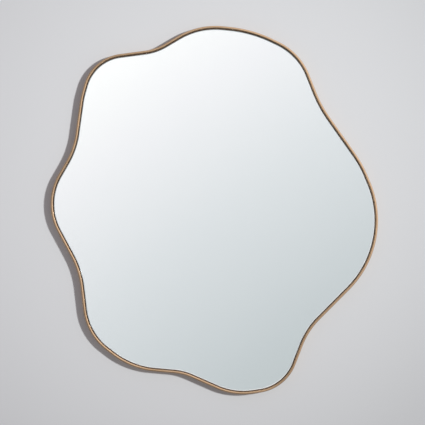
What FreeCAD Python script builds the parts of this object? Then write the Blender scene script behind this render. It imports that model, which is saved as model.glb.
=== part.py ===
import FreeCAD, Part
import math
import os
import Sketcher
from types import SimpleNamespace
from FreeCAD import Placement, Rotation, Vector

# An irregular wall mirror: a deep rim of brass-finished bar bent to a free outline, and set back
# inside it a silvered glass pane on a fibreboard back, which hangs on two keyhole plates.
#
# +X is right and +Z is up, and the mirror looks towards -Y. The wall is the plane Y = 0, and the
# origin lies on it behind the middle of the outline. Depths are counted from the wall.
#
# The outline is a belt round circles. Crowns push the belt out and waists pull it in, and a
# straight tangent joins each circle to the next. It is drawn once, and every piece that lies
# inside the rim takes it at its own inset. Places across the back are given at the drawn width
# too, so they grow with the outline.

SIZES = (
    # Outline, with the circles anticlockwise from the right side as seen from the front
    ("overall_width", 800.0),
    ("drawn_width", 800.0),  # the width at which the circles are given
    ("right_x", 160.0),
    ("right_z", -25.0),
    ("right_r", 240.0),
    ("shoulder_x", 111.0),
    ("shoulder_z", -27.0),
    ("shoulder_r", 286.0),
    ("upper_right_waist_x", 541.0),
    ("upper_right_waist_z", 406.0),
    ("upper_right_waist_r", 315.0),
    ("upper_right_x", 91.0),
    ("upper_right_z", 274.0),
    ("upper_right_r", 152.0),
    ("top_slope_x", 6.0),
    ("top_slope_z", 134.0),
    ("top_slope_r", 315.0),
    ("top_x", 3.0),
    ("top_z", 270.0),
    ("top_r", 180.0),
    ("top_waist_x", -187.0),
    ("top_waist_z", 519.0),
    ("top_waist_r", 131.0),
    ("upper_left_x", -217.0),
    ("upper_left_z", 277.0),
    ("upper_left_r", 105.0),
    ("upper_left_side_x", -145.0),
    ("upper_left_side_z", 238.0),
    ("upper_left_side_r", 185.0),
    ("upper_left_waist_x", -530.0),
    ("upper_left_waist_z", 214.0),
    ("upper_left_waist_r", 193.0),
    ("left_x", -258.0),
    ("left_z", 15.0),
    ("left_r", 142.0),
    ("lower_left_waist_x", -537.0),
    ("lower_left_waist_z", -214.0),
    ("lower_left_waist_r", 212.0),
    ("lower_left_x", -176.0),
    ("lower_left_z", -227.0),
    ("lower_left_r", 145.0),
    ("lower_left_base_x", -127.0),
    ("lower_left_base_z", -194.0),
    ("lower_left_base_r", 201.0),
    ("bottom_waist_x", -109.0),
    ("bottom_waist_z", -529.0),
    ("bottom_waist_r", 131.0),
    ("bottom_x", 71.0),
    ("bottom_z", -287.0),
    ("bottom_r", 163.0),
    ("lower_right_x", 96.0),
    ("lower_right_z", -337.0),
    ("lower_right_r", 110.0),
    ("lower_right_waist_x", 388.0),
    ("lower_right_waist_z", -397.0),
    ("lower_right_waist_r", 184.0),
    # Rim
    ("rim_width", 6.0),
    ("rim_depth", 23.0),
    ("rim_off_wall", 2.0),
    ("crest_round", 2.4),
    ("rim_back_round", 0.5),
    # Layers behind the face, from the wall forward
    ("bumper_thickness", 4.0),
    ("board_thickness", 9.0),
    ("tape_thickness", 1.0),
    ("film_thickness", 0.3),
    ("silver_thickness", 0.2),
    ("glass_thickness", 5.0),
    ("board_clearance", 0.5),
    ("glass_gap", 2.0),  # from the rim's inner wall to the glass
    ("glass_arris", 0.5),
    # Gasket in the gap round the glass
    ("gasket_clearance", 0.2),
    ("gasket_below_face", 1.0),
    ("gasket_round", 0.6),
    # Foam tape
    ("tape_width", 25.0),
    ("tape_length", 340.0),
    ("tape_spacing", 110.0),
    # Tabs on the rim and the screws through them
    ("tab_thickness", 1.5),
    ("tab_width", 22.0),
    ("tab_length", 30.0),
    ("tab_corner", 5.0),
    ("tab_clearance", 0.1),
    ("tab_hole_setback", 18.0),
    ("tab_hole_diameter", 4.0),
    ("right_tab_angle", 340.0),
    ("upper_right_tab_angle", 43.0),
    ("top_tab_angle", 102.0),
    ("upper_left_tab_angle", 131.0),
    ("left_tab_angle", 179.0),
    ("lower_left_tab_angle", 215.0),
    ("bottom_tab_angle", 258.0),
    ("lower_right_tab_angle", 310.0),
    ("tab_screw_head_diameter", 8.0),
    ("tab_screw_head_height", 1.4),
    ("tab_screw_head_round", 0.8),
    # Keyhole plates and their screws
    ("hanger_spacing", 340.0),
    ("hanger_height", 250.0),
    ("plate_thickness", 2.0),
    ("plate_width", 32.0),
    ("plate_above_entry", 32.0),
    ("plate_below_entry", 24.0),
    ("plate_corner", 4.0),
    ("entry_diameter", 10.0),
    ("slot_width", 5.0),
    ("slot_travel", 12.0),
    ("plate_screw_inset", 8.0),
    ("plate_screw_hole_diameter", 4.0),
    ("plate_screw_head_diameter", 7.0),
    ("countersink_clearance", 0.4),
    # Room in the board behind each keyhole
    ("pocket_depth", 6.0),
    ("pocket_side_room", 2.0),
    ("pocket_slot_room", 3.0),
    # Common to both kinds of screw
    ("screw_diameter", 3.5),
    ("screw_tip_length", 2.5),
    ("screw_cover", 1.0),  # board left in front of a screw's tip
    ("pilot_clearance", 0.1),
    ("recess_width", 1.0),
    ("recess_length", 3.6),
    ("recess_depth", 0.8),
    # Bumpers
    ("bumper_diameter", 15.0),
    ("bumper_round", 0.6),
    ("bumper_setback", 50.0),
    ("upper_right_bumper_angle", 70.0),
    ("upper_left_bumper_angle", 115.0),
    ("lower_left_bumper_angle", 196.0),
    ("lower_right_bumper_angle", 292.0),
)

CROWN = 1
WAIST = -1
OUTLINE = (
    ("right", CROWN),
    ("shoulder", CROWN),
    ("upper_right_waist", WAIST),
    ("upper_right", CROWN),
    ("top_slope", CROWN),
    ("top", CROWN),
    ("top_waist", WAIST),
    ("upper_left", CROWN),
    ("upper_left_side", CROWN),
    ("upper_left_waist", WAIST),
    ("left", CROWN),
    ("lower_left_waist", WAIST),
    ("lower_left", CROWN),
    ("lower_left_base", CROWN),
    ("bottom_waist", WAIST),
    ("bottom", CROWN),
    ("lower_right", CROWN),
    ("lower_right_waist", WAIST),
)
TABS = ("right", "upper_right", "top", "upper_left", "left", "lower_left", "bottom", "lower_right")
BUMPERS = ("upper_right", "upper_left", "lower_left", "lower_right")
SIDES = (("left", -1), ("right", 1))
TAPE_STRIPS = 5

HAIR = 1e-6  # lengths and volumes closer than this count as equal
COUNTERSINK = 90  # the full angle of a countersink, in degrees
QUARTER_TURN = 90
FULL_TURN = 360


class Size:
    """A number together with the expression of sheet cells that it is bound to."""

    def __init__(self, value, text=None):
        self.value = float(value)
        self.text = text or f"({value})"

    def __add__(self, other):
        return Size(self.value + sized(other).value, f"({self.text} + {sized(other).text})")

    def __sub__(self, other):
        return Size(self.value - sized(other).value, f"({self.text} - {sized(other).text})")

    def __mul__(self, other):
        return Size(self.value * sized(other).value, f"({self.text} * {sized(other).text})")

    def __truediv__(self, other):
        return Size(self.value / sized(other).value, f"({self.text} / {sized(other).text})")

    def __neg__(self):
        return Size(-self.value, f"(-{self.text})")


def sized(number):
    """A plain number as a Size."""
    return number if isinstance(number, Size) else Size(number)


def cosine(angle):
    """The cosine of an angle in degrees."""
    return Size(math.cos(math.radians(angle.value)), f"cos({angle.text})")


def sine(angle):
    """The sine of an angle in degrees."""
    return Size(math.sin(math.radians(angle.value)), f"sin({angle.text})")


def make_sheet():
    """The sheet of sizes, and each cell as a Size under its own name."""
    sheet = doc.addObject("Spreadsheet::Sheet", "Sizes")
    for row, (name, value) in enumerate(SIZES, start=1):
        sheet.set(f"A{row}", name)
        sheet.set(f"B{row}", str(value))
        sheet.setAlias(f"B{row}", name)
    doc.recompute()
    return SimpleNamespace(**{name: Size(sheet.get(name), f"Sizes.{name}") for name, _ in SIZES})


doc = FreeCAD.newDocument("irregular_mirror")
size = make_sheet()

outline_scale = size.overall_width / size.drawn_width
hanger_x = size.hanger_spacing * outline_scale / 2
hanger_z = size.hanger_height * outline_scale

# Distances of the layers from the wall
board_back = size.bumper_thickness
board_front = board_back + size.board_thickness
tape_front = board_front + size.tape_thickness
film_front = tape_front + size.film_thickness
silver_front = film_front + size.silver_thickness
glass_front = silver_front + size.glass_thickness
tab_back = board_back - size.tab_thickness
plate_back = board_back - size.plate_thickness

# Screws and the pilot holes that they bite into
pilot_radius = size.screw_diameter / 2 + size.pilot_clearance
screw_bite = size.board_thickness - size.screw_cover
pilot_depth = screw_bite + size.pilot_clearance
tab_screw_length = size.tab_thickness + screw_bite
plate_screw_length = size.plate_thickness + screw_bite


# ---- Making of sketches and solids ----


def bind(thing, field, amount):
    """Ties one field of an object to the cells behind a Size."""
    thing.setExpression(field, sized(amount).text)


def new_body(label, x=0.0, depth=0.0, z=0.0, turn=None):
    """A piece whose own origin lies at x and z, this far in front of the wall."""
    body = doc.addObject("PartDesign::Body", label)
    body.Label = label
    where = f"vector({sized(x).text}, {(-sized(depth)).text}, {sized(z).text})"
    angle = sized(turn or 0.0).text
    body.setExpression("Placement", f"placement({where}, rotation(vector(0, -1, 0), {angle}))")
    return body


def new_sketch(body, name, role="XZ_Plane", forward=0.0):
    """A sketch on one of the piece's own planes, moved this far along the plane's normal."""
    sketch = body.newObject("Sketcher::SketchObject", name)
    plane = next(item for item in body.Origin.OriginFeatures if item.Role == role)
    sketch.AttachmentSupport = [(plane, "")]
    sketch.MapMode = "FlatFace"
    bind(sketch, "AttachmentOffset.Base.z", forward)
    return sketch


def dimension(sketch, kind, *places, amount):
    """A dimension of a sketch, tied to the cells behind a Size."""
    index = sketch.addConstraint(Sketcher.Constraint(kind, *places, amount.value))
    bind(sketch, f"Constraints[{index}]", amount)


def rule(sketch, kind, *places):
    """A constraint of a sketch that has no size."""
    sketch.addConstraint(Sketcher.Constraint(kind, *places))


START, END, CENTRE = 1, 2, 3
ORIGIN = (-1, START)
UPRIGHT_AXIS = -2


def place_point(sketch, geometry, corner, x, y):
    """Puts one point of the sketch at x and y."""
    dimension(sketch, "DistanceX", *ORIGIN, geometry, corner, amount=sized(x))
    dimension(sketch, "DistanceY", *ORIGIN, geometry, corner, amount=sized(y))


def draw_circle(sketch, x, y, radius):
    """A circle with its centre at x and y."""
    middle = Vector(sized(x).value, sized(y).value, 0)
    ring = sketch.addGeometry(Part.Circle(middle, Vector(0, 0, 1), radius.value))
    place_point(sketch, ring, CENTRE, x, y)
    dimension(sketch, "Radius", ring, amount=radius)


def draw_polygon(sketch, corners):
    """A closed run of straight lines, each corner at its own x and y."""
    points = [Vector(sized(x).value, sized(y).value, 0) for x, y in corners]
    lines = []
    for first, second in zip(points, points[1:] + points[:1]):
        lines.append(sketch.addGeometry(Part.LineSegment(first, second)))
    for line, following, (x, y) in zip(lines, lines[1:] + lines[:1], corners):
        rule(sketch, "Coincident", line, END, following, START)
        place_point(sketch, line, START, x, y)


def draw_keyhole(sketch, entry_radius, slot_width, travel):
    """A round entry at the origin with a slot that rises from it to a half-round end."""
    half = slot_width / 2
    spread = math.asin(half.value / entry_radius.value)
    mouth = entry_radius.value * math.cos(spread)
    axis = Vector(0, 0, 1)
    entry_circle = Part.Circle(Vector(0, 0, 0), axis, entry_radius.value)
    entry_arc = Part.ArcOfCircle(entry_circle, math.pi / 2 + spread, math.pi * 5 / 2 - spread)
    entry = sketch.addGeometry(entry_arc)
    right_corner = Vector(half.value, mouth, 0)
    right_top = Vector(half.value, travel.value, 0)
    left_corner = Vector(-half.value, mouth, 0)
    left_top = Vector(-half.value, travel.value, 0)
    right = sketch.addGeometry(Part.LineSegment(right_corner, right_top))
    end_circle = Part.Circle(Vector(0, travel.value, 0), axis, half.value)
    end = sketch.addGeometry(Part.ArcOfCircle(end_circle, 0.0, math.pi))
    left = sketch.addGeometry(Part.LineSegment(left_top, left_corner))
    rule(sketch, "Coincident", entry, CENTRE, *ORIGIN)
    rule(sketch, "Coincident", entry, END, right, START)
    rule(sketch, "Tangent", right, END, end, START)
    rule(sketch, "Tangent", end, END, left, START)
    rule(sketch, "Coincident", left, END, entry, START)
    rule(sketch, "Vertical", right)
    rule(sketch, "Vertical", left)
    rule(sketch, "PointOnObject", end, CENTRE, UPRIGHT_AXIS)
    dimension(sketch, "DistanceY", *ORIGIN, end, CENTRE, amount=travel)
    dimension(sketch, "Radius", entry, amount=entry_radius)
    dimension(sketch, "Radius", end, amount=half)


def add_pad(body, name, profile, length):
    """Thickens a profile forward, away from the wall."""
    pad = body.newObject("PartDesign::Pad", name)
    pad.Profile = profile
    bind(pad, "Length", length)
    doc.recompute()
    return pad


def finish_cut(body, cut, volume_before):
    """Turns a cut to face forward, and checks that it takes material away."""
    cut.Reversed = True
    doc.recompute()
    if not body.Shape.Volume < volume_before - HAIR:
        raise ValueError(f"{body.Label}: {cut.Label} cuts nothing")


def add_pocket(body, name, profile, depth):
    """Sinks a profile into the piece."""
    before = body.Shape.Volume
    pocket = body.newObject("PartDesign::Pocket", name)
    pocket.Profile = profile
    bind(pocket, "Length", depth)
    finish_cut(body, pocket, before)
    return pocket


def edges_at_depth(feature, depth):
    """The names of the edges that lie wholly at one depth in front of the piece's origin."""
    names = []
    for number, edge in enumerate(feature.Shape.Edges, start=1):
        if all(abs(corner.Point.y + depth.value) < HAIR for corner in edge.Vertexes):
            names.append(f"Edge{number}")
    return names


def edges_along_depth(feature):
    """The names of the straight edges that run front to back."""
    names = []
    for number, edge in enumerate(feature.Shape.Edges, start=1):
        run = edge.Vertexes[-1].Point - edge.Vertexes[0].Point
        if abs(run.y) > HAIR and math.hypot(run.x, run.z) < HAIR:
            names.append(f"Edge{number}")
    return names


def add_dressing(body, kind, name, feature, edges, field, amount):
    """Rounds or chamfers the named edges of a feature."""
    dressing = body.newObject(f"PartDesign::{kind}", name)
    dressing.Base = (feature, edges)
    bind(dressing, field, amount)
    doc.recompute()
    return dressing


# ---- Outline ----


def outline_circles():
    """Each circle of the outline as its centre, its radius and its sense."""
    circles = []
    for name, sense in OUTLINE:
        x, z, radius = (getattr(size, f"{name}_{part}") * outline_scale for part in "xzr")
        circles.append((x, z, radius, sense))
    return circles


def draw_outline():
    """The belt round the circles, as a closed run of arcs and their common tangents."""
    sketch = doc.addObject("Sketcher::SketchObject", "outline")
    sketch.Placement = Placement(Vector(0, 0, 0), Rotation(Vector(1, 0, 0), 90))
    circles = outline_circles()
    centres = [Vector(x.value, z.value, 0) for x, z, _, _ in circles]
    reaches = [radius.value * sense for _, _, radius, sense in circles]
    # The outward direction at which the belt leaves each circle for the next one
    outward = []
    for index, centre in enumerate(centres):
        following = (index + 1) % len(centres)
        across = centres[following] - centre
        lean = math.acos((reaches[index] - reaches[following]) / across.Length)
        outward.append(math.atan2(across.y, across.x) - lean)
    shapes = []
    for index, (centre, reach) in enumerate(zip(centres, reaches)):
        following = (index + 1) % len(centres)
        arrive, leave = outward[index - 1], outward[index]
        if reach < 0:
            arrive, leave = leave + math.pi, arrive + math.pi
        circle = Part.Circle(centre, Vector(0, 0, 1), abs(reach))
        shapes.append(Part.ArcOfCircle(circle, arrive, leave))
        aside = Vector(math.cos(outward[index]), math.sin(outward[index]), 0)
        start = centre + aside * reach
        end = centres[following] + aside * reaches[following]
        shapes.append(Part.LineSegment(start, end))
    sketch.addGeometry(shapes, False)
    for index, reach in enumerate(reaches):
        arc, line = 2 * index, 2 * index + 1
        next_arc = (line + 1) % len(shapes)
        next_reach = reaches[(index + 1) % len(reaches)]
        rule(sketch, "Tangent", arc, END if reach > 0 else START, line, START)
        rule(sketch, "Tangent", line, END, next_arc, START if next_reach > 0 else END)
    for index, (x, z, radius, _) in enumerate(circles):
        place_point(sketch, 2 * index, CENTRE, x, z)
        dimension(sketch, "Radius", 2 * index, amount=radius)
    doc.recompute()
    return sketch


outline = draw_outline()


def outline_face(body, name, inset):
    """The face inside the outline, drawn in by an inset, on the piece's own plane."""
    face = body.newObject("PartDesign::SubShapeBinder", name)
    face.Support = [(outline, "")]
    face.Relative = False
    face.Placement = outline.Placement
    if sized(inset).value:
        bind(face, "Offset", -inset)
    doc.recompute()
    return face


def rim_point(name, angle, setback):
    """A place this far inside the rim's inner wall, on one crown's radius at an angle."""
    reach = getattr(size, f"{name}_r") * outline_scale - size.rim_width - setback
    x = getattr(size, f"{name}_x") * outline_scale + reach * cosine(angle)
    z = getattr(size, f"{name}_z") * outline_scale + reach * sine(angle)
    return x, z


def layer(label, back, thickness, inset):
    """A flat piece that follows the outline at an inset."""
    body = new_body(label, depth=back)
    face = outline_face(body, f"{label}_outline", inset)
    return body, add_pad(body, f"{label}_sheet", face, thickness)


def ring(label, back, depth, outer_inset, inner_inset):
    """A hoop that follows the outline between two insets."""
    body, _ = layer(label, back, depth, outer_inset)
    hole = outline_face(body, f"{label}_hole", inner_inset)
    pocket = add_pocket(body, f"{label}_opening", hole, depth)
    return body, pocket


# ---- Pieces ----


def make_rim():
    """The bar of the rim, round on its front corners and just broken on its back ones."""
    body, bar = ring("rim", size.rim_off_wall, size.rim_depth, 0, size.rim_width)
    front = edges_at_depth(bar, size.rim_depth)
    crest = add_dressing(body, "Fillet", "crest", bar, front, "Radius", size.crest_round)
    back = edges_at_depth(crest, sized(0))
    add_dressing(body, "Fillet", "back_corners", crest, back, "Radius", size.rim_back_round)
    return body


def draw_tongue(sketch, reach, inner_x, half):
    """A flat tongue whose outer end is an arc round the origin, at its reach."""
    spread = math.asin(half.value / reach.value)
    corner_x = reach.value * math.cos(spread)
    low_outer = Vector(corner_x, -half.value, 0)
    high_outer = Vector(corner_x, half.value, 0)
    low_inner = Vector(inner_x.value, -half.value, 0)
    high_inner = Vector(inner_x.value, half.value, 0)
    circle = Part.Circle(Vector(0, 0, 0), Vector(0, 0, 1), reach.value)
    arc = sketch.addGeometry(Part.ArcOfCircle(circle, -spread, spread))
    top = sketch.addGeometry(Part.LineSegment(high_outer, high_inner))
    end = sketch.addGeometry(Part.LineSegment(high_inner, low_inner))
    foot = sketch.addGeometry(Part.LineSegment(low_inner, low_outer))
    rule(sketch, "Coincident", arc, CENTRE, *ORIGIN)
    rule(sketch, "Coincident", arc, END, top, START)
    rule(sketch, "Coincident", top, END, end, START)
    rule(sketch, "Coincident", end, END, foot, START)
    rule(sketch, "Coincident", foot, END, arc, START)
    rule(sketch, "Horizontal", top)
    rule(sketch, "Vertical", end)
    rule(sketch, "Horizontal", foot)
    dimension(sketch, "Radius", arc, amount=reach)
    place_point(sketch, end, START, inner_x, half)
    dimension(sketch, "DistanceY", *ORIGIN, foot, START, amount=-half)


def make_rim_tab(name):
    """A tongue welded to the rim's inner wall, which the back is screwed to."""
    x, z = (getattr(size, f"{name}_{part}") * outline_scale for part in "xz")
    body = new_body(f"rim_tab_{name}", x, tab_back, z, getattr(size, f"{name}_tab_angle"))
    wall = getattr(size, f"{name}_r") * outline_scale - size.rim_width
    reach = wall - size.tab_clearance
    inner_x = reach - size.tab_length
    profile = new_sketch(body, f"tab_{name}_profile")
    draw_tongue(profile, reach, inner_x, size.tab_width / 2)
    plate = add_pad(body, f"tab_{name}_plate", profile, size.tab_thickness)
    inner_corners = []
    for edge in edges_along_depth(plate):
        if abs(plate.Shape.getElement(edge).Vertexes[0].Point.x - inner_x.value) < HAIR:
            inner_corners.append(edge)
    add_dressing(body, "Fillet", f"tab_{name}_corners", plate, inner_corners, "Radius", size.tab_corner)
    hole = new_sketch(body, f"tab_{name}_hole_circle")
    draw_circle(hole, wall - size.tab_hole_setback, 0, size.tab_hole_diameter / 2)
    add_pocket(body, f"tab_{name}_hole", hole, size.tab_thickness)
    return body


def tab_screw_places():
    """Where the screws of the tabs stand."""
    return [rim_point(name, getattr(size, f"{name}_tab_angle"), size.tab_hole_setback) for name in TABS]


def plate_screw_heights():
    """The heights of a plate's two screws above its round entry."""
    upper = size.plate_above_entry - size.plate_screw_inset
    lower = size.plate_screw_inset - size.plate_below_entry
    return upper, lower


def plate_screw_places():
    """Where the screws of both keyhole plates stand."""
    places = []
    for _, side in SIDES:
        for height in plate_screw_heights():
            places.append((hanger_x * side, hanger_z + height))
    return places


def make_backboard():
    """The fibreboard back, with its pilot holes and the room behind each keyhole."""
    body, _ = layer("backboard", board_back, size.board_thickness, size.rim_width + size.board_clearance)
    pilots = new_sketch(body, "pilot_circles")
    for x, z in tab_screw_places() + plate_screw_places():
        draw_circle(pilots, x, z, pilot_radius)
    add_pocket(body, "pilots", pilots, pilot_depth)
    for word, side in SIDES:
        room = new_sketch(body, f"{word}_keyhole_room_profile")
        radius = size.entry_diameter / 2 + size.pocket_side_room
        width = size.slot_width + size.pocket_slot_room * 2
        draw_keyhole(room, radius, width, size.slot_travel)
        bind(room, "AttachmentOffset.Base.x", hanger_x * side)
        bind(room, "AttachmentOffset.Base.y", hanger_z)
        add_pocket(body, f"{word}_keyhole_room", room, size.pocket_depth)
    return body


def make_keyhole_plate(word, side):
    """A steel plate with a keyhole and two countersunk holes, flat on the back of the board."""
    body = new_body(f"keyhole_plate_{word}", hanger_x * side, plate_back, hanger_z)
    half = size.plate_width / 2
    corners = (
        (-half, -size.plate_below_entry),
        (half, -size.plate_below_entry),
        (half, size.plate_above_entry),
        (-half, size.plate_above_entry),
    )
    profile = new_sketch(body, f"{word}_plate_profile")
    draw_polygon(profile, corners)
    blank = add_pad(body, f"{word}_plate_blank", profile, size.plate_thickness)
    corner_edges = edges_along_depth(blank)
    add_dressing(body, "Fillet", f"{word}_plate_corners", blank, corner_edges, "Radius", size.plate_corner)
    keyhole = new_sketch(body, f"{word}_keyhole_profile")
    draw_keyhole(keyhole, size.entry_diameter / 2, size.slot_width, size.slot_travel)
    add_pocket(body, f"{word}_keyhole", keyhole, size.plate_thickness)
    circles = new_sketch(body, f"{word}_screw_hole_circles")
    for height in plate_screw_heights():
        draw_circle(circles, 0, height, size.plate_screw_hole_diameter / 2)
    doc.recompute()
    before = body.Shape.Volume
    holes = body.newObject("PartDesign::Hole", f"{word}_screw_holes")
    holes.Profile = circles
    holes.DepthType = "ThroughAll"
    holes.HoleCutType = "Countersink"
    holes.HoleCutCustomValues = True
    bind(holes, "Diameter", size.plate_screw_hole_diameter)
    bind(holes, "HoleCutDiameter", size.plate_screw_head_diameter + size.countersink_clearance)
    holes.HoleCutCountersinkAngle = COUNTERSINK
    finish_cut(body, holes, before)
    return body


def add_recess(body, label, height):
    """A cross in the face of a screw's head."""
    profile = new_sketch(body, f"{label}_slot_profile", forward=-sized(height))
    across, along = size.recess_width / 2, size.recess_length / 2
    draw_polygon(profile, ((-across, -along), (across, -along), (across, along), (-across, along)))
    slot = add_pocket(body, f"{label}_slot", profile, size.recess_depth)
    cross = body.newObject("PartDesign::PolarPattern", f"{label}_cross")
    cross.Originals = [slot]
    depth_axis = next(item for item in body.Origin.OriginFeatures if item.Role == "Y_Axis")
    cross.Axis = (depth_axis, [""])
    cross.Angle = QUARTER_TURN
    cross.Occurrences = 2
    body.Tip = cross
    doc.recompute()


def turn_screw(label, outside):
    """A screw turned round the depth axis, from its half outline of radius and distance forward."""
    body = new_body(label)
    profile = new_sketch(body, f"{label}_profile", role="XY_Plane")
    draw_polygon(profile, [(radius, -sized(forward)) for radius, forward in outside])
    turned = body.newObject("PartDesign::Revolution", f"{label}_turned")
    turned.Profile = profile
    turned.ReferenceAxis = (profile, ["V_Axis"])
    turned.Angle = FULL_TURN
    doc.recompute()
    return body, turned


def make_tab_screw():
    """A screw with a low round head, whose seat is at the origin."""
    radius = size.screw_diameter / 2
    head_radius = size.tab_screw_head_diameter / 2
    height = size.tab_screw_head_height
    outside = (
        (0, -height),
        (head_radius, -height),
        (head_radius, 0),
        (radius, 0),
        (radius, tab_screw_length - size.screw_tip_length),
        (0, tab_screw_length),
    )
    body, turned = turn_screw("tab_screw", outside)
    face_edge = edges_at_depth(turned, -height)
    add_dressing(body, "Fillet", "tab_screw_dome", turned, face_edge, "Radius", size.tab_screw_head_round)
    add_recess(body, "tab_screw", height)
    return body


def make_plate_screw():
    """A countersunk screw, whose flat face is at the origin."""
    radius = size.screw_diameter / 2
    head_radius = size.plate_screw_head_diameter / 2
    outside = (
        (0, 0),
        (head_radius, 0),
        (radius, head_radius - radius),
        (radius, plate_screw_length - size.screw_tip_length),
        (0, plate_screw_length),
    )
    body, _ = turn_screw("plate_screw", outside)
    add_recess(body, "plate_screw", 0)
    return body


def make_set(label, master, depth, places):
    """One piece for each place, all of them copies of a master."""
    copies = []
    for number, (x, z) in enumerate(places, start=1):
        copy = doc.addObject("App::Link", f"{label}_{number}")
        copy.LinkedObject = master
        where = f"vector({sized(x).text}, {(-depth).text}, {sized(z).text})"
        copy.setExpression("Placement", f"placement({where}, rotation(vector(0, -1, 0), 0))")
        copies.append(copy)
    group = doc.addObject("Part::Compound", label)
    group.Label = label
    group.Links = copies
    doc.recompute()
    return group


def make_tape_strip(number):
    """One upright strip of foam tape between the board and the pane."""
    strip = doc.addObject("Part::Box", f"tape_strip_{number}")
    strip.Label = f"tape_strip_{number}"
    length = size.tape_length * outline_scale
    steps = number - (TAPE_STRIPS + 1) / 2
    bind(strip, "Length", size.tape_width)
    bind(strip, "Width", size.tape_thickness)
    bind(strip, "Height", length)
    bind(strip, "Placement.Base.x", size.tape_spacing * outline_scale * steps - size.tape_width / 2)
    bind(strip, "Placement.Base.y", -tape_front)
    bind(strip, "Placement.Base.z", -length / 2)
    return strip


def make_glass():
    """The clear glass of the pane, with an arris ground on both faces."""
    body, sheet = layer("mirror_glass", silver_front, size.glass_thickness, size.rim_width + size.glass_gap)
    edges = edges_at_depth(sheet, sized(0)) + edges_at_depth(sheet, size.glass_thickness)
    add_dressing(body, "Chamfer", "arris", sheet, edges, "Size", size.glass_arris)
    return body


def make_gasket():
    """The dark cord that fills the gap between the glass and the rim."""
    depth = glass_front - size.gasket_below_face - board_front
    outer = size.rim_width + size.gasket_clearance
    inner = size.rim_width + size.glass_gap - size.gasket_clearance
    body, hoop = ring("gasket", board_front, depth, outer, inner)
    front = edges_at_depth(hoop, depth)
    add_dressing(body, "Fillet", "gasket_front", hoop, front, "Radius", size.gasket_round)
    return body


def make_bumper(name):
    """A rubber foot that keeps the back off the wall, with its wall edge rounded."""
    x, z = rim_point(name, getattr(size, f"{name}_bumper_angle"), size.bumper_setback)
    body = new_body(f"bumper_{name}", x, 0, z)
    circle = new_sketch(body, f"bumper_{name}_circle")
    draw_circle(circle, 0, 0, size.bumper_diameter / 2)
    disc = add_pad(body, f"bumper_{name}_disc", circle, size.bumper_thickness)
    wall_edge = edges_at_depth(disc, sized(0))
    add_dressing(body, "Fillet", f"bumper_{name}_edge", disc, wall_edge, "Radius", size.bumper_round)
    return body


def make_pieces():
    """Every separate piece of the mirror."""
    pane_inset = size.rim_width + size.glass_gap
    pieces = [make_rim()]
    pieces += [make_rim_tab(name) for name in TABS]
    pieces.append(make_backboard())
    pieces += [make_tape_strip(number) for number in range(1, TAPE_STRIPS + 1)]
    pieces.append(layer("safety_film", tape_front, size.film_thickness, pane_inset)[0])
    pieces.append(layer("silver_backing", film_front, size.silver_thickness, pane_inset)[0])
    pieces.append(make_glass())
    pieces.append(make_gasket())
    pieces += [make_keyhole_plate(word, side) for word, side in SIDES]
    pieces.append(make_set("tab_screws", make_tab_screw(), tab_back, tab_screw_places()))
    pieces.append(make_set("plate_screws", make_plate_screw(), plate_back, plate_screw_places()))
    pieces += [make_bumper(name) for name in BUMPERS]
    return pieces


def check_and_export(pieces):
    """Refuses a failed object or a broken shape, then writes one file for each piece."""
    doc.recompute()
    for item in doc.Objects:
        if "Invalid" in item.State or "Error" in item.State:
            raise ValueError(f"{item.Label} failed to build")
    for piece in pieces:
        if piece.Shape.isNull() or not piece.Shape.isValid():
            raise ValueError(f"{piece.Label} has no sound shape")
    os.makedirs("parts", exist_ok=True)
    for piece in pieces:
        piece.Shape.exportStep(f"parts/{piece.Label}.step")
    print(f"{len(pieces)} pieces written")


check_and_export(make_pieces())
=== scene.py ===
import math

import bpy
import numpy as np
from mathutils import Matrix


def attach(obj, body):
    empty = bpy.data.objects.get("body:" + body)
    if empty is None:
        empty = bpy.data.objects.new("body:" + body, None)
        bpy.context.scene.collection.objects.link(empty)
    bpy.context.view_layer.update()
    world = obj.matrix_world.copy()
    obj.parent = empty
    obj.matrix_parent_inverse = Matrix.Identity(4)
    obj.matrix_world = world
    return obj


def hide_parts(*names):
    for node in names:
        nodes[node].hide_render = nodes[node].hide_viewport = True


# Looks of a wall mirror with a free, wavy outline: a satin brass rim round a set back pane of
# silvered glass, on a fibreboard back that hangs on two keyhole plates.
#
# Lengths are in metres. +X is right, +Z is up, and the mirror looks towards -Y from the wall at
# Y = 0. A depth is a distance in front of the wall, and an inset one inside the rim's outer edge.

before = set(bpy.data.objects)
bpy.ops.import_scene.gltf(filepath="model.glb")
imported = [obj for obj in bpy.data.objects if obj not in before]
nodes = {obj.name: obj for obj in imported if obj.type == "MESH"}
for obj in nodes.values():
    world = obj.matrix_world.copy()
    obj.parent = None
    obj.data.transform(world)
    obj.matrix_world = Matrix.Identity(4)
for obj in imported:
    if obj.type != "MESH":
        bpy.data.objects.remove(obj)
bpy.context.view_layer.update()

MM = 0.001

# Circles of the outline's belt, anticlockwise from the right side: centre x, centre z and radius
# in millimetres. A radius below zero is a waist, which pulls the belt in.
CIRCLES = np.array((
    (160, -25, 240), (111, -27, 286), (541, 406, -315), (91, 274, 152), (6, 134, 315),
    (3, 270, 180), (-187, 519, -131), (-217, 277, 105), (-145, 238, 185), (-530, 214, -193),
    (-258, 15, 142), (-537, -214, -212), (-176, -227, 145), (-127, -194, 201),
    (-109, -529, -131), (71, -287, 163), (96, -337, 110), (388, -397, -184),
)) * MM

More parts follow.
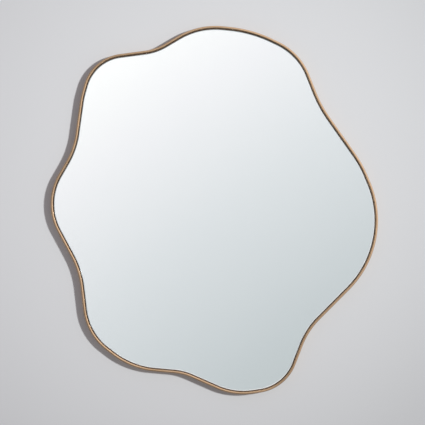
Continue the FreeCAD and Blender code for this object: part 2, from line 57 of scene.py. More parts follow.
RIM_WIDTH = 6 * MM
RIM_BACK = 2 * MM
RIM_FRONT = 25 * MM
CREST_ROUND = 2.4 * MM
BACK_ROUND = 0.5 * MM
GLASS_INSET = 8 * MM
GLASS_BACK = 14.5 * MM
GLASS_FRONT = 19.5 * MM
ARRIS = 0.5 * MM
SILVER_BACK = 14.3 * MM
SILVER_FRONT = 14.46 * MM
CORD_OUTER, CORD_INNER = 6.2 * MM, 7.8 * MM
CORD_BACK, CORD_FRONT = 13 * MM, 18.5 * MM
CORD_ROUND = 0.6 * MM
TAB_BACK = 2.5 * MM

# Distance along the outline to the joint of the rim's ends, left of the middle at the bottom
JOINT_RUN = 2050 * MM

# Distance between the points of each outline
RIM_STEP, PANE_STEP, CORD_STEP, WALL_STEP = 2 * MM, 2 * MM, 3 * MM, 8 * MM

# Sizes to which the pane's outline shrinks towards the middle of its faces
PANE_SHARES = (0.2, 0.45, 0.7, 0.9)

WELD_HALF_LENGTH = 9 * MM
WELD_RADIUS = 1.0 * MM
WELD_RIPPLE = 1.6 * MM
WELD_SETBACK = 0.35 * MM
WELD_SINK = 0.2 * MM
WELD_POINTS = 46

# The crown that each tab stands on, as its place in CIRCLES, and the tab's angle in degrees
TABS = {
    "right": (0, 340), "upper_right": (3, 43), "top": (5, 102), "upper_left": (7, 131),
    "left": (10, 179), "lower_left": (12, 215), "bottom": (15, 258), "lower_right": (16, 310),
}


# ---- Shapes ----


def belt(step):
    """Points along the outline with the direction out of it, and the distance run up to each.

    The tangent from one circle to the next leaves at the bearing of the next centre less
    arccos((r1 - r2) / distance). On a circle, that direction turns evenly and the point is
    centre + radius * direction. On a tangent, it stays and the point moves straight on."""
    centre, reach = CIRCLES[:, :2], CIRCLES[:, 2]
    across = np.roll(centre, -1, 0) - centre
    lean = np.arccos((reach - np.roll(reach, -1)) / np.hypot(across[:, 0], across[:, 1]))
    leave = np.arctan2(across[:, 1], across[:, 0]) - lean
    arrive = np.roll(leave, 1)
    turn = (leave - arrive + math.pi) % (2 * math.pi) - math.pi
    places, outward = [], []
    for index in range(len(CIRCLES)):
        parts = math.ceil(abs(turn[index] * reach[index]) / step)
        angle = arrive[index] + turn[index] * np.linspace(0, 1, parts + 1)
        out = np.stack([np.cos(angle), np.sin(angle)], 1)
        arc = centre[index] + reach[index] * out
        following = (index + 1) % len(CIRCLES)
        gap = centre[following] + reach[following] * out[-1] - arc[-1]
        parts = math.ceil(np.hypot(*gap) / step)
        line = arc[-1] + gap * (np.arange(1, parts) / max(parts, 1))[:, None]
        places += [arc, line]
        outward += [out, np.repeat(out[-1:], len(line), 0)]
    places, outward = np.concatenate(places), np.concatenate(outward)
    steps = np.linalg.norm(np.roll(places, -1, 0) - places, axis=1)
    return places, outward, np.concatenate([[0], np.cumsum(steps)])


def grid_faces(rows, columns, wrap_columns):
    """The quads of a grid whose rows wrap, and the row and column of each corner before wrapping."""
    row, column = np.meshgrid(
        np.arange(rows), np.arange(columns if wrap_columns else columns - 1), indexing="ij"
    )
    row = np.stack([row, row + 1, row + 1, row], -1).reshape(-1, 4)
    column = np.stack([column, column, column + 1, column + 1], -1).reshape(-1, 4)
    return row % rows * columns + column % columns, row, column


def add_mesh(name, vertices, faces, corner_uv, crease=30):
    """A mesh at the origin, smooth except across edges that turn more than the crease in degrees."""
    mesh = bpy.data.meshes.new(name)
    mesh.from_pydata(vertices.tolist(), [], faces)
    layer = mesh.uv_layers.new(name="run")
    layer.data.foreach_set("uv", corner_uv.astype(np.float32).ravel())
    mesh.shade_smooth()
    mesh.set_sharp_from_angle(angle=math.radians(crease))
    mesh.update()
    piece = bpy.data.objects.new(name, mesh)
    bpy.context.scene.collection.objects.link(piece)
    return piece


def add_piece(piece, slot, material, *stands_for):
    """Makes a mesh a part of the mirror, in place of the CAD nodes that it stands for."""
    piece.data.materials.append(material)
    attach(piece, "root")
    if stands_for:
        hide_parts(*stands_for)
    return piece


def rounded_bar(outer, inner, back, front, back_round, front_round, parts=8, shoulder=0.12 * MM):
    """The closed section of a bar as insets and depths, each corner a quarter circle.

    It runs up the outer side, over the front, down the inner side and along the back. Two more
    points stand a shoulder away from each corner, so that its shading stops there."""
    corners = (
        (outer + back_round, back + back_round, back_round, 270),
        (outer + front_round, front - front_round, front_round, 180),
        (inner - front_round, front - front_round, front_round, 90),
        (inner - back_round, back + back_round, back_round, 0),
    )
    section = []
    for inset, depth, radius, start in corners:
        angle = np.radians(start - 90 * np.linspace(0, 1, parts + 1))
        arc = np.stack([inset + radius * np.cos(angle), depth + radius * np.sin(angle)], 1)
        heading = shoulder * np.stack([np.sin(angle), -np.cos(angle)], 1)
        section += [arc[:1] - heading[:1], arc, arc[-1:] + heading[-1:]]
    return np.concatenate(section)


def hoop(name, section, step):
    """A section of insets and depths carried round the outline: point = place - inset * outward."""
    places, outward, run = belt(step)
    flat = places[:, None] - section[None, :, :1] * outward[:, None]
    depth = np.broadcast_to(section[:, 1], flat.shape[:2])
    vertices = np.stack([flat[..., 0], -depth, flat[..., 1]], -1)
    faces, row, column = grid_faces(*flat.shape[:2], True)
    closed = np.concatenate([section, section[:1]])
    sides = np.linalg.norm(np.diff(closed, axis=0), axis=1)
    across = np.concatenate([[0], np.cumsum(sides)])
    uv = np.stack([run[row], across[column]], -1)
    return add_mesh(name, vertices.reshape(-1, 3), faces.tolist(), uv), across


def capped_skin(name, skin, first_pole, last_pole, uv_of):
    """A skin whose rows wrap round, closed at its first and last column by a fan to a pole."""
    rows, columns, _ = skin.shape
    quads, _, _ = grid_faces(rows, columns, False)
    first, last = rows * columns, rows * columns + 1
    here = np.arange(rows)
    there = (here + 1) % rows
    start = np.stack([np.full(rows, first), there * columns, here * columns], 1)
    brim = columns - 1
    end = np.stack([here * columns + brim, there * columns + brim, np.full(rows, last)], 1)
    vertices = np.concatenate([skin.reshape(-1, 3), [first_pole, last_pole]])
    corners = np.concatenate([quads.ravel(), start.ravel(), end.ravel()])
    faces = quads.tolist() + start.tolist() + end.tolist()
    return add_mesh(name, vertices, faces, uv_of(vertices)[corners])


def plate(name, steps, step):
    """A flat plate with the outline's shape, from rows of share, inset and depth.

    A row is share * (place - inset * outward) at its depth, where share shrinks the outline
    towards the middle. The rows run from the middle of the back to the middle of the front."""
    places, outward, _ = belt(step)
    share, inset, depth = np.array(steps).T
    flat = (places[:, None] - inset[None, :, None] * outward[:, None]) * share[None, :, None]
    skin = np.stack([flat[..., 0], np.broadcast_to(-depth, flat.shape[:2]), flat[..., 1]], -1)
    poles = (0, -depth[0], 0), (0, -depth[-1], 0)
    return capped_skin(name, skin, *poles, lambda vertices: vertices[:, (0, 2)])


def weld_bead(name, centres, side, radius, ripple):
    """A bead of weld along a run of centres: a tube whose radius swells in ripples.

    The radius is radius * sqrt(1 - t^4) * (1 + 0.12 |sin|) for t from -1 to 1 along the run, where
    |t| is held at 0.995 so that no end is a point. Side is the level direction across the run."""
    t = np.linspace(-1, 1, len(centres))
    length = np.linalg.norm(np.diff(centres, axis=0), axis=1).sum()
    swell = 1 + 0.12 * np.abs(np.sin(math.pi * length / ripple * (t + 1) / 2))
    size = radius * np.sqrt(1 - np.clip(np.abs(t), 0, 0.995) ** 4) * swell
    angle = np.linspace(0, 2 * math.pi, 16, endpoint=False)
    depth = np.array([0, 1, 0])
    around = np.cos(angle)[:, None, None] * side[None] - np.sin(angle)[:, None, None] * depth
    skin = centres[None] + around * size[None, :, None]
    return capped_skin(name, skin, centres[0], centres[-1], lambda vertices: vertices[:, (0, 2)])


# ---- Nodes ----


def node(tree, kind, inputs=None, **fields):
    """A new node with its fields set, and each named input given a value or a link."""
    made = tree.nodes.new(kind)
    for field, value in fields.items():
        setattr(made, field, value)
    for name, value in (inputs or {}).items():
        if isinstance(value, bpy.types.NodeSocket):
            tree.links.new(value, made.inputs[name])
        else:
            made.inputs[name].default_value = value
    return made


def maths(tree, operation, *values):
    """The result of a sum on one to three values."""
    return node(tree, "ShaderNodeMath", dict(enumerate(values)), operation=operation).outputs[0]


def spread(tree, value, low, high, to_low=0.0, to_high=1.0, kind="SMOOTHSTEP"):
    """A value carried from one range to another and held at its ends."""
    inputs = {0: value, 1: low, 2: high, 3: to_low, 4: to_high}
    return node(tree, "ShaderNodeMapRange", inputs, interpolation_type=kind).outputs[0]


def blend_colours(tree, share, first, second, blend="MIX"):
    """Two colours mixed by a share."""
    inputs = {0: share, 6: first, 7: second}
    return node(tree, "ShaderNodeMix", inputs, data_type="RGBA", blend_type=blend).outputs[2]


def noise(tree, place, scale, detail=2.0, rough=0.5):
    """A smooth noise from 0 to 1 over a place."""
    inputs = {"Vector": place, "Scale": scale, "Detail": detail, "Roughness": rough}
    return node(tree, "ShaderNodeTexNoise", inputs).outputs[0]


def linear(red, green, blue):
    """A colour written as screen values from 0 to 255, as light."""
    screen = np.array([red, green, blue]) / 255
    light = np.where(screen <= 0.04045, screen / 12.92, ((screen + 0.055) / 1.055) ** 2.4)
    return (*light.tolist(), 1.0)


def new_group(name, inputs, outputs):
    """A group of nodes with named sockets, and its input and output nodes."""
    tree = bpy.data.node_groups.new(name, "ShaderNodeTree")
    for label, kind in inputs.items():
        tree.interface.new_socket(name=label, in_out="INPUT", socket_type=f"NodeSocket{kind}")
    for label, kind in outputs.items():
        tree.interface.new_socket(name=label, in_out="OUTPUT", socket_type=f"NodeSocket{kind}")
    return tree, tree.nodes.new("NodeGroupInput").outputs, tree.nodes.new("NodeGroupOutput").inputs


def make_brushed_lines():
    """Fine lines that run along the first axis of a place, as brushing leaves them."""
    tree, given, out = new_group(
        "brushed_lines",
        {"Place": "Vector", "Length": "Float", "Pitch": "Float"},
        {"Lines": "Float"},
    )
    inputs = {0: given["Length"], 1: given["Pitch"], 2: given["Pitch"]}
    grain = node(tree, "ShaderNodeCombineXYZ", inputs)
    inputs = {0: given["Place"], 1: grain.outputs[0]}
    place = node(tree, "ShaderNodeVectorMath", inputs, operation="DIVIDE").outputs[0]
    fine = noise(tree, place, 1.0, 4.0, 0.6)
    tree.links.new(spread(tree, fine, 0.3, 0.7), out["Lines"])
    return tree


def make_tone_drift():
    """A slow drift between two colours over the surface, with finer flecks in it."""
    tree, given, out = new_group(
        "tone_drift",
        {"Place": "Vector", "Size": "Float", "First": "Color", "Second": "Color"},
        {"Colour": "Color"},
    )
    scale = maths(tree, "DIVIDE", 1.0, given["Size"])
    slow = noise(tree, given["Place"], scale, 3.0, 0.6)
    share = spread(tree, slow, 0.32, 0.68)
    tree.links.new(blend_colours(tree, share, given["First"], given["Second"]), out["Colour"])
    return tree


def make_edge_wear():
    """A mask that is 1 on edges, broken up by noise, where handling has rubbed them."""
    tree, given, out = new_group(
        "edge_wear",
        {"Place": "Vector", "Width": "Float", "Patch": "Float"},
        {"Worn": "Float"},
    )
    soft = node(tree, "ShaderNodeBevel", {"Radius": given["Width"]}, samples=6).outputs[0]
    true = node(tree, "ShaderNodeNewGeometry").outputs["Normal"]
    turned = node(tree, "ShaderNodeVectorMath", {0: soft, 1: true}, operation="DOT_PRODUCT")
    edge = spread(tree, turned.outputs["Value"], 0.995, 0.9)
    patchy = noise(tree, given["Place"], maths(tree, "DIVIDE", 1.0, given["Patch"]), 3.0)
    patches = spread(tree, patchy, 0.35, 0.6, 0.25, 1.0)
    tree.links.new(maths(tree, "MULTIPLY", edge, patches), out["Worn"])
    return tree


def make_settled_dust():
    """A mask of dust on what faces up."""
    tree, given, out = new_group(
        "settled_dust", {"Place": "Vector", "Amount": "Float"}, {"Dust": "Float"}
    )
    facing = node(tree, "ShaderNodeNewGeometry").outputs["Normal"]
    up = node(tree, "ShaderNodeSeparateXYZ", {0: facing}).outputs[2]
    lying = spread(tree, up, 0.3, 1.0)
    patchy = spread(tree, noise(tree, given["Place"], 900.0, 4.0), 0.35, 0.65, 0.4, 1.0)
    dust = maths(tree, "MULTIPLY", lying, patchy)
    tree.links.new(maths(tree, "MULTIPLY", dust, given["Amount"]), out["Dust"])
    return tree


def make_grit():
    """Fine bumps and pits, as a height from 0 to 1 at a given size."""
    tree, given, out = new_group("grit", {"Place": "Vector", "Size": "Float"}, {"Height": "Float"})
    scale = maths(tree, "DIVIDE", 1.0, given["Size"])
    bumps = noise(tree, given["Place"], scale, 3.0, 0.7)
    pits = node(tree, "ShaderNodeTexVoronoi", {"Vector": given["Place"], "Scale": scale}).outputs[0]
    shallow = maths(tree, "MULTIPLY", pits, 0.35)
    tree.links.new(maths(tree, "SUBTRACT", bumps, shallow), out["Height"])
    return tree


GROUPS = {
    "lines": make_brushed_lines(),
    "drift": make_tone_drift(),
    "wear": make_edge_wear(),
    "dust": make_settled_dust(),
    "grit": make_grit(),
}
DUST = linear(196, 190, 180)


def use_group(tree, name, **inputs):
    """The first output of a group placed with its own values."""
    made = node(tree, "ShaderNodeGroup", node_tree=GROUPS[name])
    for label, value in inputs.items():
        if isinstance(value, bpy.types.NodeSocket):
            tree.links.new(value, made.inputs[label])
        else:
            made.inputs[label].default_value = value
    return made.outputs[0]


def new_material(name, **sockets):
    """A material with one Principled shader, whose plain sockets are set, and its object place."""
    material = bpy.data.materials.new(name)
    material.use_nodes = True
    tree = material.node_tree
    tree.nodes.clear()
    plain = {label.replace("_", " "): value for label, value in sockets.items()}
    shader = node(tree, "ShaderNodeBsdfPrincipled", plain)
    node(tree, "ShaderNodeOutputMaterial", {"Surface": shader.outputs[0]})
    place = node(tree, "ShaderNodeTexCoord").outputs["Object"]
    return material, tree, shader, place


def feed(tree, shader, **links):
    """Links outputs to the shader's sockets."""
    for label, output in links.items():
        tree.links.new(output, shader.inputs[label.replace("_", " ")])


def relief(tree, height, distance, strength):
    """A normal roughened by a height, whose full range is this many metres."""
    inputs = {"Height": height, "Distance": distance, "Strength": strength}
    return node(tree, "ShaderNodeBump", inputs).outputs[0]


def drift(tree, place, size, first, second):
    """A colour that drifts between two over patches of a size."""
    return use_group(tree, "drift", Place=place, Size=size, First=first, Second=second)


def rub_edges(tree, place, colour, bare, share, width, patch):
    """A colour rubbed towards a bare one, by up to a share, on edges of a width."""
    worn = use_group(tree, "wear", Place=place, Width=width, Patch=patch)
    return blend_colours(tree, maths(tree, "MULTIPLY", worn, share), colour, bare)


def follow(tree, mask, smooth, coarse):
    """A roughness that follows a mask evenly from one value to another."""
    return spread(tree, mask, 0.0, 1.0, smooth, coarse, "LINEAR")


def feed_gritty(tree, shader, place, colour, size, smooth, coarse, height, strength):
    """Gives a shader its colour, and a roughness and relief that follow grit of a size."""
    grit = use_group(tree, "grit", Place=place, Size=size)
    rough = follow(tree, grit, smooth, coarse)
    normal = relief(tree, grit, height, strength)
    feed(tree, shader, Base_Color=colour, Roughness=rough, Normal=normal)


# ---- Finishes ----


def satin_brass(crest_end, joint_run):
    """Brass brushed along the bar, with one ground joint, and painted shade: its inner wall and back
    are dark brown to stand for the shade on the rim's inner wall.
    """
    material, tree, shader, place = new_material("satin_brass", Metallic=1.0)
    run = node(tree, "ShaderNodeUVMap", uv_map="run").outputs[0]
    lines = use_group(tree, "lines", Place=run, Length=0.03, Pitch=0.00016)
    bright = drift(tree, place, 0.05, (0.61, 0.412, 0.262, 1), (0.55, 0.366, 0.225, 1))
    # Painted shade: a dark brown that stands for the shade on the rim's inner wall, carried on over
    # its back
    painted_shade_brown = drift(tree, place, 0.012, (0.19, 0.092, 0.038, 1), (0.15, 0.070, 0.028, 1))
    along, across, _ = node(tree, "ShaderNodeSeparateXYZ", {0: run}).outputs
    # Share of painted shade, from just past the crest onto the inner wall and back
    painted_shade_share = spread(tree, across, crest_end + 1 * MM, crest_end + 3 * MM)
    colour = blend_colours(tree, painted_shade_share, bright, painted_shade_brown)
    off_joint = maths(tree, "ABSOLUTE", maths(tree, "SUBTRACT", along, joint_run))
    joint = spread(tree, off_joint, 0.4 * MM, 0.1 * MM)
    colour = blend_colours(tree, maths(tree, "MULTIPLY", joint, 0.35), colour, (0.2, 0.13, 0.08, 1))
    colour = rub_edges(tree, place, colour, (0.72, 0.52, 0.34, 1), 0.2, 0.0006, 0.01)
    dust = use_group(tree, "dust", Place=place, Amount=0.08)
    colour = blend_colours(tree, dust, colour, DUST)
    rough = follow(tree, lines, 0.22, 0.34)
    rough = maths(tree, "ADD", rough, maths(tree, "MULTIPLY", dust, 0.6))
    feed(tree, shader, Base_Color=colour, Roughness=rough, Normal=relief(tree, lines, 0.00001, 0.5))
    return material


def float_glass():
    """Clear glass, polished but for its ground edge."""
    material, tree, shader, place = new_material(
        "float_glass", Base_Color=(0.994, 0.998, 0.9965, 1), IOR=1.52,
        Transmission_Weight=1.0, Metallic=0.0,
    )
    ground = node(tree, "ShaderNodeAttribute", attribute_name="ground").outputs["Fac"]
    grit = use_group(tree, "grit", Place=place, Size=0.0003)
    rough = maths(tree, "MULTIPLY", ground, spread(tree, grit, 0.0, 1.0, 0.06, 0.16))
    height = maths(tree, "MULTIPLY", grit, ground)
    feed(tree, shader, Roughness=rough, Normal=relief(tree, height, 0.00001, 0.3))
    return material


def silver_coat():
    """Bright silver towards the glass, and grey paint over it behind and at the edge."""
    material, tree, shader, place = new_material("silver_coat")
    depth = node(tree, "ShaderNodeSeparateXYZ", {0: place}).outputs[1]
    behind = spread(tree, depth, -SILVER_FRONT + 0.02 * MM, -SILVER_FRONT + 0.04 * MM)
    silver = drift(tree, place, 0.4, (0.955, 0.962, 0.96, 1), (0.95, 0.958, 0.958, 1))
    paint = drift(tree, place, 0.03, (0.30, 0.33, 0.33, 1), (0.26, 0.29, 0.29, 1))
    colour = blend_colours(tree, behind, silver, paint)
    metal = maths(tree, "SUBTRACT", 1.0, behind)
    rough = spread(tree, behind, 0.0, 1.0, 0.0, 0.6)
    feed(tree, shader, Base_Color=colour, Metallic=metal, Roughness=rough)
    return material


def cord_rubber_and_shade():
    """Dark brown rubber with a moulded skin and a little dust, its brown made darker than the
    rubber's own to stand for the shade in the gap round the pane (painted shade).
    """
    material, tree, shader, place = new_material("cord_rubber_and_shade", Specular_IOR_Level=0.1)
    # Partly the rubber's colour and partly painted shade: these dark browns stand for the shade in
    # the gap as well
    colour = drift(tree, place, 0.02, (0.100, 0.038, 0.012, 1), (0.075, 0.028, 0.009, 1))
    dust = use_group(tree, "dust", Place=place, Amount=0.04)
    colour = blend_colours(tree, dust, colour, DUST)
    feed_gritty(tree, shader, place, colour, 0.0004, 0.45, 0.65, 0.00003, 0.6)
    return material


def raw_fibreboard():
    """Pressed wood fibre: a sanded face with short fibres, and darker, fuzzier sawn edges."""
    material, tree, shader, place = new_material("raw_fibreboard", Specular_IOR_Level=0.25)
    base = drift(tree, place, 0.09, linear(183, 149, 110), linear(174, 140, 102))
    fleck = noise(tree, place, 1400.0, 4.0, 0.75)
    colour = blend_colours(tree, spread(tree, fleck, 0.5, 0.75), base, linear(128, 95, 62))
    bent = noise(tree, place, 90.0, 2.0)
    turned = node(
        tree, "ShaderNodeVectorRotate",
        {"Vector": place, "Axis": (0, 1, 0), "Angle": maths(tree, "MULTIPLY", bent, 12.0)},
    ).outputs[0]
    fibres = use_group(tree, "lines", Place=turned, Length=0.004, Pitch=0.0003)
    pale = spread(tree, fibres, 0.75, 1.0, 0.0, 0.45)
    colour = blend_colours(tree, pale, colour, linear(214, 184, 146))
    facing = node(tree, "ShaderNodeNewGeometry").outputs["Normal"]
    level = maths(tree, "ABSOLUTE", node(tree, "ShaderNodeSeparateXYZ", {0: facing}).outputs[1])
    edge = spread(tree, level, 0.6, 0.3)
    colour = blend_colours(tree, maths(tree, "MULTIPLY", edge, 0.55), colour, linear(110, 78, 50))
    grit = use_group(tree, "grit", Place=place, Size=0.0008)
    height = maths(tree, "ADD", fibres, maths(tree, "MULTIPLY", grit, 0.7))
    rough = follow(tree, fibres, 0.78, 0.62)
    feed(tree, shader, Base_Color=colour, Roughness=rough, Normal=relief(tree, height, 0.00006, 0.7))
    return material


def mill_steel(name, weld):
    """Plain rolled steel with straw and blue heat colours near its weld."""
    material, tree, shader, place = new_material(f"mill_steel_{name}", Metallic=1.0)
    lines = use_group(tree, "lines", Place=place, Length=0.03, Pitch=0.0004)
    colour = drift(tree, place, 0.015, (0.50, 0.48, 0.45, 1), (0.40, 0.385, 0.37, 1))
    inputs = {0: place, 1: tuple(weld)}
    away = node(tree, "ShaderNodeVectorMath", inputs, operation="DISTANCE").outputs["Value"]
    wander = maths(tree, "MULTIPLY_ADD", noise(tree, place, 220.0), 0.006, away)
    straw = spread(tree, wander, 24 * MM, 16 * MM)
    blue = spread(tree, wander, 17.5 * MM, 13.5 * MM)
    colour = blend_colours(tree, maths(tree, "MULTIPLY", straw, 0.7), colour, (0.46, 0.30, 0.13, 1))
    colour = blend_colours(tree, maths(tree, "MULTIPLY", blue, 0.6), colour, (0.14, 0.16, 0.26, 1))
    colour = rub_edges(tree, place, colour, (0.68, 0.66, 0.63, 1), 0.5, 0.0004, 0.006)
    rough = follow(tree, lines, 0.32, 0.5)
    feed(tree, shader, Base_Color=colour, Roughness=rough, Normal=relief(tree, lines, 0.00001, 0.5))
    return material


def weld_metal():
    """The bead of a weld, grey and scaled."""
    material, tree, shader, place = new_material("weld_metal", Metallic=1.0)
    colour = drift(tree, place, 0.002, (0.42, 0.38, 0.34, 1), (0.22, 0.19, 0.18, 1))
    feed_gritty(tree, shader, place, colour, 0.0005, 0.3, 0.6, 0.00005, 0.7)
    return material


def zinc_steel():
    """Zinc plated steel, with faint crystals, fine scratches and rubbed edges."""
    material, tree, shader, place = new_material("zinc_steel", Metallic=1.0)
    crystals = node(tree, "ShaderNodeTexVoronoi", {"Vector": place, "Scale": 420.0}).outputs["Color"]
    share = node(tree, "ShaderNodeSeparateColor", {0: crystals}).outputs[0]
    colour = blend_colours(tree, share, (0.62, 0.63, 0.63, 1), (0.54, 0.56, 0.57, 1))
    colour = rub_edges(tree, place, colour, (0.80, 0.80, 0.78, 1), 0.6, 0.0003, 0.004)
    lines = use_group(tree, "lines", Place=place, Length=0.02, Pitch=0.0003)
    rough = follow(tree, lines, 0.24, 0.42)
    feed(tree, shader, Base_Color=colour, Roughness=rough, Normal=relief(tree, lines, 0.000008, 0.5))
    return material


def black_rubber():
    """Moulded black rubber, greyed by wear on its edges."""
    material, tree, shader, place = new_material("black_rubber", Specular_IOR_Level=0.4)
    colour = drift(tree, place, 0.006, (0.022, 0.022, 0.023, 1), (0.034, 0.033, 0.032, 1))
    colour = rub_edges(tree, place, colour, (0.09, 0.088, 0.085, 1), 0.5, 0.0005, 0.003)
    feed_gritty(tree, shader, place, colour, 0.0005, 0.55, 0.8, 0.00004, 0.7)
    return material


def foam_tape():
    """Pale closed foam with fine cells on its cut sides."""
    material, tree, shader, place = new_material("foam_tape", Specular_IOR_Level=0.3)
    colour = drift(tree, place, 0.01, (0.80, 0.80, 0.77, 1), (0.72, 0.72, 0.70, 1))
    feed_gritty(tree, shader, place, colour, 0.0004, 0.65, 0.85, 0.0001, 0.8)
    return material


def woven_film():
    """White film with the fine square weave of its threads."""
    material, tree, shader, place = new_material("woven_film", Specular_IOR_Level=0.4)
    weave = []
    for direction in ("X", "Z"):
        wave = node(
            tree, "ShaderNodeTexWave", {"Vector": place, "Scale": 300.0},
            wave_type="BANDS", bands_direction=direction,
        )
        weave.append(wave.outputs["Fac"])
    height = maths(tree, "MAXIMUM", *weave)
    colour = blend_colours(tree, height, linear(198, 203, 208), linear(222, 226, 229))
    rough = follow(tree, height, 0.6, 0.45)
    feed(tree, shader, Base_Color=colour, Roughness=rough, Normal=relief(tree, height, 0.00005, 0.8))
    return material


# ---- Pieces ----


def make_rim():
    """The bent bar of the rim, whose crest ends where its third corner runs into the inner wall."""
    section = rounded_bar(0, RIM_WIDTH, RIM_BACK, RIM_FRONT, BACK_ROUND, CREST_ROUND)
    rim, across = hoop("brass_rim", section, RIM_STEP)
    corner = len(section) // 4
    crest_end = across[3 * corner - 2]
    add_piece(rim, "rim_brass", satin_brass(crest_end, JOINT_RUN), "rim")


def make_pane():
    """The glass, with its arris and edge marked as ground, and the silver behind it."""
    flat = GLASS_INSET + ARRIS
    steps = [(share, flat, GLASS_BACK) for share in PANE_SHARES]
    steps += [
        (1, flat, GLASS_BACK),
        (1, GLASS_INSET, GLASS_BACK + ARRIS),
        (1, GLASS_INSET, GLASS_FRONT - ARRIS),
        (1, flat, GLASS_FRONT),
    ]
    steps += [(share, flat, GLASS_FRONT) for share in reversed(PANE_SHARES)]
    glass = plate("pane_glass", steps, PANE_STEP)
    normals = np.zeros(len(glass.data.polygons) * 3, np.float32)
    glass.data.polygons.foreach_get("normal", normals)
    ground = np.abs(normals.reshape(-1, 3)[:, 1]) < 0.9
    marks = glass.data.attributes.new("ground", "FLOAT", "FACE")
    marks.data.foreach_set("value", ground.astype(np.float32))
    add_piece(glass, "clear_glass", float_glass(), "mirror_glass")
    steps = [(share, GLASS_INSET, SILVER_BACK) for share in (*PANE_SHARES, 1)]
    steps += [(share, GLASS_INSET, SILVER_FRONT) for share in (1, *reversed(PANE_SHARES))]
    silver = plate("pane_silver", steps, PANE_STEP)
    add_piece(silver, "silver", silver_coat(), "silver_backing")


def make_cord():
    """The cord in the gap between the pane and the rim, dark partly as rubber and partly as painted
    shade of that gap.
    """
    section = rounded_bar(
        CORD_OUTER, CORD_INNER, CORD_BACK, CORD_FRONT, 0.1 * MM, CORD_ROUND,
        parts=5, shoulder=0.05 * MM,
    )
    cord, _ = hoop("gap_cord", section, CORD_STEP)
    add_piece(cord, "gasket_rubber", cord_rubber_and_shade(), "gasket")


def make_tab_welds():
    """A bead along the outer end of each tab, and the tab's own steel with its heat colours."""
    metal = weld_metal()
    for name, (crown, degrees) in TABS.items():
        centre, radius = CIRCLES[crown, :2], CIRCLES[crown, 2] - RIM_WIDTH
        spans = np.linspace(-1, 1, WELD_POINTS) * WELD_HALF_LENGTH
        angle = math.radians(degrees) + spans / radius
        side = np.stack([np.cos(angle), 0 * angle, np.sin(angle)], 1)
        middle = np.array([centre[0], -TAB_BACK + WELD_SINK, centre[1]])
        centres = middle + side * (radius - WELD_SETBACK)
        bead = weld_bead(f"tab_weld_{name}", centres, side, WELD_RADIUS, WELD_RIPPLE)
        add_piece(bead, "tab_steel", metal)
        cover(f"rim_tab_{name}", mill_steel(name, centres[WELD_POINTS // 2]))


def cover(name, material):
    """Gives a CAD node its finish."""
    nodes[name].data.materials.clear()
    nodes[name].data.materials.append(material)


def finish_hidden_pieces():
    """The finishes of the back, its plates, screws and bumpers, and of the layers between."""
    cover("backboard", raw_fibreboard())
    cover("safety_film", woven_film())
    zinc, rubber, foam = zinc_steel(), black_rubber(), foam_tape()
    for name in nodes:
        if name.startswith("tape_strip"):
            cover(name, foam)
        elif name.startswith("bumper"):
            cover(name, rubber)
        elif name.startswith("keyhole_plate") or name.endswith("screws"):
            cover(name, zinc)


# ---- Studio ----


WALL_DEPTH = -0.5 * MM
HOLE_INSET = 4 * MM

# The wall's sizes from its outer edge to the opening, as multiples of the opening
WALL_RINGS = np.array((5.5, 2.5, 1.4, 1.0))

WALL_COLOUR = linear(221, 223, 226)
WALL_ACROSS, WALL_UP, WALL_ROUND = -0.212, 0.088, 0.33
WALL_LEAST = 0.66
BACKDROP = linear(222, 222, 224)

# What the pane mirrors, as a tone on a scale of 255 that changes across and up, and its colours
PANE_MIDDLE, PANE_ACROSS, PANE_UP = 221.0, -117.0, 159.0
PANE_DARKEST, PANE_PALEST = 185.0, 255.0
PANE_COLOURS = (
    (0.0, linear(194, 202, 204)), (0.14, linear(202, 209, 212)), (0.5, linear(227, 231, 234)),
    (0.8, linear(250, 250, 253)), (1.0, linear(264, 264, 264)),
)

# What metal mirrors
METAL_MIDDLE, METAL_ACROSS = 0.52, 0.30
GLOW_TOWARDS = (0.50, -0.76, 0.42)
GLOW_TONE = 0.95

# What lights matt surfaces from all sides
FILL_BELOW, FILL_ABOVE = (0.37, 0.34, 0.325, 1), (0.295, 0.28, 0.31, 1)

KEY_PLACE, KEY_POWER, KEY_WIDTH = (2.37, -3.3, 0.6), 137.0, 0.27
KEY_COLOUR = (0.985, 1.0, 0.985)
BACK_PLACE, BACK_POWER, BACK_WIDTH = (-1.6, 2.6, 1.5), 95.0, 2.2

CAMERA_PLACE = (-0.0043, -2.618, -0.0059)
CAMERA_LENS, CAMERA_SENSOR = 90.0, 36.0


def wall_paint():
    """Pale matt paint that isn't seen from behind.

    Its tone is 1 + WALL_ACROSS x + WALL_UP z - WALL_ROUND (x^2 + z^2), which evens out the key
    lamp's light as a second lamp would, and levels off at WALL_LEAST."""
    material, tree, shader, place = new_material("wall_paint", Roughness=0.9, Specular_IOR_Level=0.1)
    x, _, z = node(tree, "ShaderNodeSeparateXYZ", {0: place}).outputs
    tone = maths(tree, "MULTIPLY_ADD", x, WALL_ACROSS, 1.0)
    tone = maths(tree, "MULTIPLY_ADD", z, WALL_UP, tone)
    squared = node(tree, "ShaderNodeVectorMath", {0: place, 1: place}, operation="DOT_PRODUCT")
    tone = maths(tree, "MULTIPLY_ADD", squared.outputs["Value"], -WALL_ROUND, tone)
    tone = maths(tree, "SMOOTH_MAX", tone, WALL_LEAST, 0.1)
    tone = node(tree, "ShaderNodeCombineColor", {0: tone, 1: tone, 2: tone}).outputs[0]
    colour = blend_colours(tree, 1.0, tone, WALL_COLOUR, "MULTIPLY")
    feed(tree, shader, Base_Color=colour)
    away = node(tree, "ShaderNodeNewGeometry").outputs["Backfacing"]
    camera = node(tree, "ShaderNodeLightPath").outputs["Is Camera Ray"]
    clear = node(tree, "ShaderNodeBsdfTransparent").outputs[0]
    inputs = {0: maths(tree, "MULTIPLY", away, camera), 1: shader.outputs[0], 2: clear}
    shown = node(tree, "ShaderNodeMixShader", inputs).outputs[0]
    output = next(item for item in tree.nodes if item.type == "OUTPUT_MATERIAL")
    tree.links.new(shown, output.inputs["Surface"])
    return material


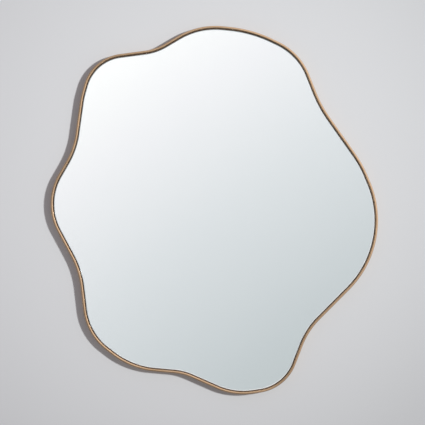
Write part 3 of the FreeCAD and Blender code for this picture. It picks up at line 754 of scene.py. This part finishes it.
def make_stage():
    """A wall with an opening behind the mirror, so that light reaches its back."""
    places, outward, _ = belt(WALL_STEP)
    opening = places - HOLE_INSET * outward
    flat = opening[:, None] * WALL_RINGS[None, :, None]
    vertices = np.stack([flat[..., 0], np.full(flat.shape[:2], -WALL_DEPTH), flat[..., 1]], -1)
    faces, _, _ = grid_faces(*flat.shape[:2], False)
    vertices = vertices.reshape(-1, 3)
    uv = vertices[:, (0, 2)][faces.ravel()]
    wall = add_mesh("studio_wall", vertices, faces.tolist(), uv)
    wall.data.materials.append(wall_paint())


def make_world():
    """Even fill for matt surfaces, a gradient for the pane, and for metal a glow from the right.

    Metal is shown METAL_MIDDLE + METAL_ACROSS x, dimmed from below, with a round glow towards
    GLOW_TOWARDS. The pane's tone is PANE_MIDDLE + (PANE_ACROSS x + PANE_UP z) / |y|."""
    world = bpy.data.worlds.new("studio")
    bpy.context.scene.world = world
    world.use_nodes = True
    world.cycles.sampling_method = "NONE"
    tree = world.node_tree
    tree.nodes.clear()
    direction = node(tree, "ShaderNodeTexCoord").outputs["Generated"]
    x, y, z = node(tree, "ShaderNodeSeparateXYZ", {0: direction}).outputs
    ahead = maths(tree, "ABSOLUTE", y)
    reach = maths(tree, "MAXIMUM", ahead, 0.2)
    across, up = maths(tree, "DIVIDE", x, reach), maths(tree, "DIVIDE", z, reach)
    tone = maths(tree, "MULTIPLY_ADD", across, PANE_ACROSS, PANE_MIDDLE)
    tone = maths(tree, "MULTIPLY_ADD", up, PANE_UP, tone)
    share = spread(tree, tone, PANE_DARKEST, PANE_PALEST, kind="LINEAR")
    ramp = node(tree, "ShaderNodeValToRGB", {0: share})
    stops = ramp.color_ramp.elements
    for index, (position, colour) in enumerate(PANE_COLOURS):
        stop = stops[index] if index < 2 else stops.new(position)
        stop.position, stop.color = position, colour
    metal = maths(tree, "MULTIPLY_ADD", x, METAL_ACROSS, METAL_MIDDLE)
    metal = maths(tree, "MULTIPLY", metal, spread(tree, z, -0.9, 0.0, 0.26, 1.0))
    inputs = {0: direction, 1: GLOW_TOWARDS}
    near = node(tree, "ShaderNodeVectorMath", inputs, operation="DOT_PRODUCT").outputs["Value"]
    metal = maths(tree, "MULTIPLY_ADD", spread(tree, near, 0.62, 0.98), GLOW_TONE, metal)
    metal = node(tree, "ShaderNodeCombineColor", {0: metal, 1: metal, 2: metal}).outputs[0]
    above = spread(tree, z, -0.6, 0.6)
    fill = blend_colours(tree, above, FILL_BELOW, FILL_ABOVE)
    path = node(tree, "ShaderNodeLightPath").outputs
    colour = blend_colours(tree, path["Is Glossy Ray"], fill, metal)
    colour = blend_colours(tree, path["Is Transmission Ray"], colour, ramp.outputs[0])
    colour = blend_colours(tree, path["Is Camera Ray"], colour, BACKDROP)
    shade = node(tree, "ShaderNodeBackground", {"Color": colour, "Strength": 1.0})
    node(tree, "ShaderNodeOutputWorld", {"Surface": shade.outputs[0]})


def add_lamp(name, place, power, width):
    """A square lamp that looks at the mirror's middle and isn't seen itself."""
    data = bpy.data.lights.new(name, "AREA")
    data.energy, data.size = power, width
    lamp = bpy.data.objects.new(name, data)
    bpy.context.scene.collection.objects.link(lamp)
    lamp.location = place
    lamp.rotation_euler = (-lamp.location).to_track_quat("-Z", "Y").to_euler()
    lamp.visible_camera = False
    return lamp


def make_lamps():
    """A small key lamp from the right, and a broad soft one behind the wall for the mirror's back.

    Metal doesn't mirror the key lamp. A softer glow in the world stands for it there."""
    key = add_lamp("key_lamp", KEY_PLACE, KEY_POWER, KEY_WIDTH)
    key.data.color = KEY_COLOUR
    key.visible_glossy = False
    add_lamp("back_lamp", BACK_PLACE, BACK_POWER, BACK_WIDTH)


def make_camera():
    """Straight on, a little left of and below the middle of the outline."""
    data = bpy.data.cameras.new("front")
    data.lens, data.sensor_width = CAMERA_LENS, CAMERA_SENSOR
    camera = bpy.data.objects.new("front", data)
    camera.location = CAMERA_PLACE
    camera.rotation_euler = (math.radians(90), 0, 0)
    bpy.context.scene.collection.objects.link(camera)
    bpy.context.scene.camera = camera


make_rim()
make_pane()
make_cord()
make_tab_welds()
finish_hidden_pieces()
make_stage()
make_world()
make_lamps()
make_camera()
bpy.context.scene.view_settings.view_transform = "Standard"
